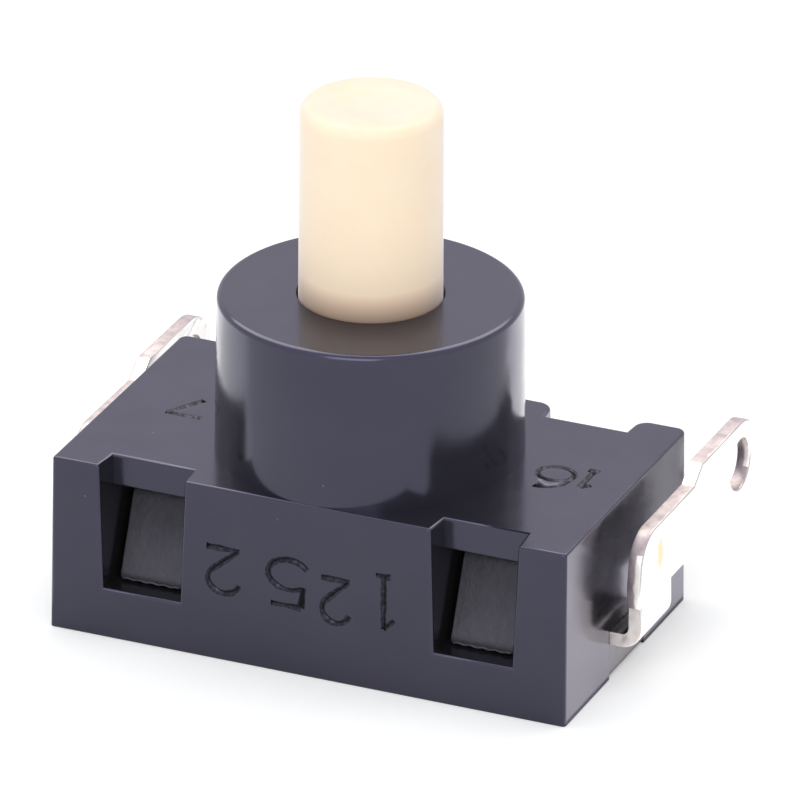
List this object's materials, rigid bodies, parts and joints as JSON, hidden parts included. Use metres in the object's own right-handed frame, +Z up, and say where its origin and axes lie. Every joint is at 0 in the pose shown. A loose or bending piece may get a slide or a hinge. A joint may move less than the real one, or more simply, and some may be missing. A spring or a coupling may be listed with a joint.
{
  "type": "latching push button switch",
  "caption": "Latching push button switch: black snap-together housing with a round collar, an ivory plunger and a bent, pierced solder terminal at each end.",
  "frame": {"origin": "on the button's axis, in the plane of the housing's underside", "axes": "+Z up along the button's axis, +X along the housing's length towards the right-hand terminal, +Y towards the side that the terminal tabs point to"},
  "size_m": [0.0346, 0.0234, 0.031],
  "materials": {
    "black_moulding": "satin moulded black, fine blue-grey sheen",
    "base_moulding": "matte moulded black, slightly cloudy",
    "ivory_moulding": "semi-gloss moulded ivory, slightly translucent",
    "natural_moulding": "natural moulded white",
    "grey_moulding": "moulded grey",
    "spring_steel": "drawn spring wire",
    "plated_strip": "bright tin-plated strip with worn yellow spots",
    "copper_strip": "rolled copper strip",
    "contact_metal": "silver contact metal"
  },
  "bodies": {
    "housing": {"housing_cover": "black_moulding", "base": "base_moulding", "return_spring": "spring_steel", "terminal_left": "plated_strip", "terminal_right": "plated_strip", "fixed_contact_left": "contact_metal", "fixed_contact_right": "contact_metal"},
    "button": {"push_button": "ivory_moulding"},
    "carrier": {"contact_carrier": "grey_moulding", "spring_seat": "spring_steel", "contact_spring": "spring_steel"},
    "rotor": {"ratchet_rotor": "natural_moulding"},
    "bridge": {"contact_bridge": "copper_strip", "moving_contact_left": "contact_metal", "moving_contact_right": "contact_metal"}
  },
  "joints": [
    {"name": "button_press", "type": "slide", "parent": "housing", "child": "button", "axis": [0, 0, -1], "range_m": [0, 0.0035], "stiffness_N_per_m": 800, "springref_m": -0.003},
    {"name": "carrier_slide", "type": "slide", "parent": "housing", "child": "carrier", "axis": [0, 0, -1], "range_m": [0, 0.0035], "deforming": ["return_spring"]},
    {"name": "rotor_index", "type": "hinge", "parent": "carrier", "child": "rotor", "pos_m": [0, 0, 0.0125], "axis": [0, 0, 1], "range_deg": [-1.2, 1.2]},
    {"name": "bridge_lift", "type": "slide", "parent": "carrier", "child": "bridge", "axis": [0, 0, 1], "range_m": [0, 0.0007], "deforming": ["contact_spring"]}
  ],
  "couplings": [
    {"joint": "carrier_slide", "follows": "button_press", "ratio": 1},
    {"joint": "bridge_lift", "follows": "button_press", "ratio": 0.2}
  ]
}
